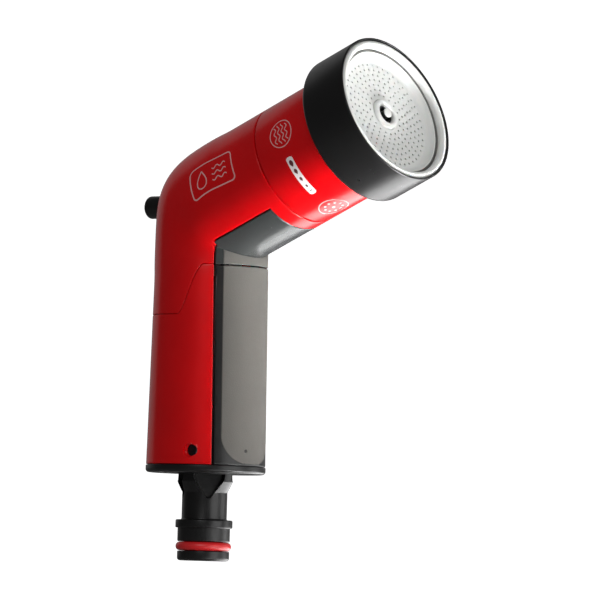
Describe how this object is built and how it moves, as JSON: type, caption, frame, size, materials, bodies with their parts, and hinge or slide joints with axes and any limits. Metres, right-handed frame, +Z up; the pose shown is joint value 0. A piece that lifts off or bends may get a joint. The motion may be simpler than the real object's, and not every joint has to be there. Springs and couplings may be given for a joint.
{
  "type": "garden spray gun",
  "caption": "Pistol-shaped water spray gun with a squeeze trigger, a latch button, a turning spray head and a quick-connect hose plug.",
  "frame": {"origin": "on the plug's axis at the mouth of the water inlet, the lowest point of the part", "axes": "+Z up the handle, +X forward, the way the barrel points, +Y across the handle to the left of someone holding it"},
  "size_m": [0.1056, 0.0466, 0.1573],
  "materials": {
    "red_plastic": "satin gloss",
    "black_plastic": "satin",
    "grey_soft": "soft touch",
    "pale_plastic": "satin",
    "natural_plastic": "satin",
    "seal_rubber": "matte",
    "red_rubber": "satin",
    "seat_brass": "machined",
    "steel": "brushed"
  },
  "bodies": {
    "gun_body": {"body_shell": "red_plastic", "handle_shell": "red_plastic", "barrel_trim": "black_plastic", "trim_pad": "grey_soft", "base_cap": "black_plastic", "base_screws": "steel", "inlet_plug": "black_plastic", "inlet_o_ring": "red_rubber", "inlet_filter": "natural_plastic", "lower_tube_seal": "seal_rubber", "handle_tube": "natural_plastic", "upper_tube_seal": "seal_rubber", "valve_housing": "natural_plastic", "valve_seat": "seat_brass", "valve_end_cap": "black_plastic", "end_cap_seal": "seal_rubber", "stem_gland_seal": "seal_rubber", "outlet_lower_seal": "seal_rubber", "outlet_tube": "natural_plastic", "outlet_upper_seal": "seal_rubber", "selector_body": "natural_plastic", "port_seal": "seal_rubber", "click_spring": "steel", "head_washer": "steel", "head_screw": "steel", "trigger_pin": "steel"},
    "trigger": {"trigger_lever": "black_plastic", "trigger_pad": "grey_soft"},
    "valve_stem_body": {"valve_stem": "steel", "stem_seal": "seal_rubber", "valve_spring": "steel"},
    "latch": {"lock_button": "black_plastic", "lock_slider": "natural_plastic", "lock_spring": "steel"},
    "spray_head": {"head_collar": "red_plastic", "head_bezel": "black_plastic", "spray_face": "pale_plastic", "face_seal": "seal_rubber", "face_gasket": "seal_rubber", "jet_nozzle": "pale_plastic", "jet_sleeve": "black_plastic", "selector_disc": "natural_plastic", "disc_screws": "steel"}
  },
  "joints": [
    {"name": "trigger_squeeze", "type": "hinge", "parent": "gun_body", "child": "trigger", "pos_m": [0.008, 0, 0.0332], "axis": [0, -1, 0], "range_deg": [0, 4.5]},
    {"name": "valve_travel", "type": "slide", "parent": "gun_body", "child": "valve_stem_body", "axis": [-1, 0, 0], "range_m": [0, 0.0039], "deforming": ["valve_spring"]},
    {"name": "latch_push", "type": "slide", "parent": "gun_body", "child": "latch", "axis": [1, 0, 0], "range_m": [0, 0.0039], "deforming": ["lock_spring"]},
    {"name": "head_turn", "type": "hinge", "parent": "gun_body", "child": "spray_head", "pos_m": [0, 0, 0.106], "axis": [0.9205, 0, 0.3907], "range_deg": [-46, 46], "deforming": ["click_spring"]}
  ],
  "couplings": [
    {"joint": "valve_travel", "follows": "trigger_squeeze", "m_per_rad": 0.04902}
  ]
}
